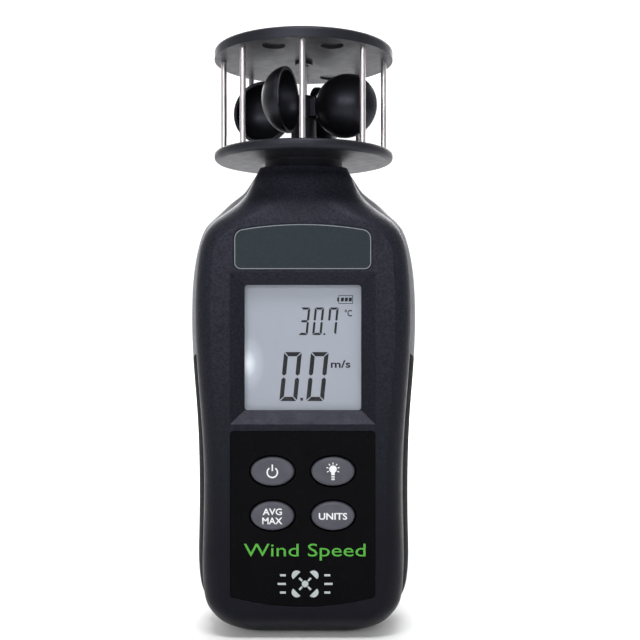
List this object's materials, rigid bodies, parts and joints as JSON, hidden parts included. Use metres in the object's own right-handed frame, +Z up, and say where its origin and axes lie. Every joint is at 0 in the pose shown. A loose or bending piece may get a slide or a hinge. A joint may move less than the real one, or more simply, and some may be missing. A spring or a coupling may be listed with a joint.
{
  "type": "cup anemometer",
  "caption": "Handheld wind meter: bottle-shaped body with display and oval keys, topped by a cup rotor spinning inside a cage of polished rods between two discs.",
  "frame": {"origin": "centre of the base plane, under the rotor axis", "axes": "+Z up along the rotor axis, display facing -Y, +X to the reader's right"},
  "size_m": [0.06, 0.048, 0.1547],
  "materials": {
    "shell_black": "fine texture",
    "shell_silver": "satin",
    "grip_rubber": "matte",
    "cover_silver": "satin",
    "label_grey": "satin foil",
    "nameplate_slate": "satin print",
    "overlay_black": "gloss",
    "key_grey": "matte silicone",
    "mat_grey": "matte silicone",
    "window_clear": "clear",
    "lcd_grey": "gloss",
    "backlight_white": "frosted",
    "holder_white": "moulded",
    "zebra_rubber": "striped",
    "board_green": "solder mask",
    "chip_black": "moulded epoxy",
    "screw_steel": "zinc plated",
    "spring_steel": "nickel plated",
    "cell_jacket": "printed sleeve",
    "ribbon_film": "polyimide film",
    "disc_black": "fine texture",
    "rod_steel": "polished",
    "cup_black": "semi gloss",
    "magnet_nickel": "nickel plated",
    "bearing_brass": "turned"
  },
  "bodies": {
    "housing": {"front_shell": "shell_black", "rear_shell": "shell_silver", "side_grip_left": "grip_rubber", "side_grip_right": "grip_rubber", "rear_label": "label_grey", "nameplate": "nameplate_slate", "keypad_overlay": "overlay_black", "keypad_mat": "mat_grey", "lcd_window": "window_clear", "lcd_glass": "lcd_grey", "lcd_backlight": "backlight_white", "lcd_holder": "holder_white", "zebra_connector": "zebra_rubber", "main_board": "board_green", "sensor_board": "board_green", "board_components": "chip_black", "buzzer": "chip_black", "hall_sensor": "chip_black", "thermistor": "chip_black", "board_screws": "screw_steel", "housing_screws": "screw_steel", "battery_springs": "spring_steel", "battery_contacts": "spring_steel", "batteries": "cell_jacket", "sensor_ribbon": "ribbon_film", "lower_disc": "disc_black", "upper_disc": "disc_black", "guard_rods": "rod_steel", "lower_bearing": "bearing_brass", "base_bearing": "bearing_brass", "upper_bearing": "bearing_brass"},
    "rotor": {"rotor_hub": "cup_black", "rotor_shaft": "rod_steel", "rotor_magnet": "magnet_nickel", "cup_1": "cup_black", "cup_2": "cup_black", "cup_3": "cup_black", "cup_4": "cup_black"},
    "cover": {"battery_cover": "cover_silver"},
    "button_power_key": {"button_power": "key_grey"},
    "button_light_key": {"button_light": "key_grey"},
    "button_avg_max_key": {"button_avg_max": "key_grey"},
    "button_units_key": {"button_units": "key_grey"}
  },
  "joints": [
    {"name": "rotor_spin", "type": "hinge", "parent": "housing", "child": "rotor", "pos_m": [0, 0, 0.139], "axis": [0, 0, 1], "continuous": true},
    {"name": "cover_hinge", "type": "hinge", "parent": "housing", "child": "cover", "pos_m": [0, 0.0151, 0.0105], "axis": [-1, 0, 0], "range_deg": [0, 80]},
    {"name": "button_power_press", "type": "slide", "parent": "housing", "child": "button_power_key", "axis": [0, 1, 0], "range_m": [0, 0.001], "stiffness_N_per_m": 400, "springref_m": -0.0003},
    {"name": "button_light_press", "type": "slide", "parent": "housing", "child": "button_light_key", "axis": [0, 1, 0], "range_m": [0, 0.001], "stiffness_N_per_m": 400, "springref_m": -0.0003},
    {"name": "button_avg_max_press", "type": "slide", "parent": "housing", "child": "button_avg_max_key", "axis": [0, 1, 0], "range_m": [0, 0.001], "stiffness_N_per_m": 400, "springref_m": -0.0003},
    {"name": "button_units_press", "type": "slide", "parent": "housing", "child": "button_units_key", "axis": [0, 1, 0], "range_m": [0, 0.001], "stiffness_N_per_m": 400, "springref_m": -0.0003}
  ]
}
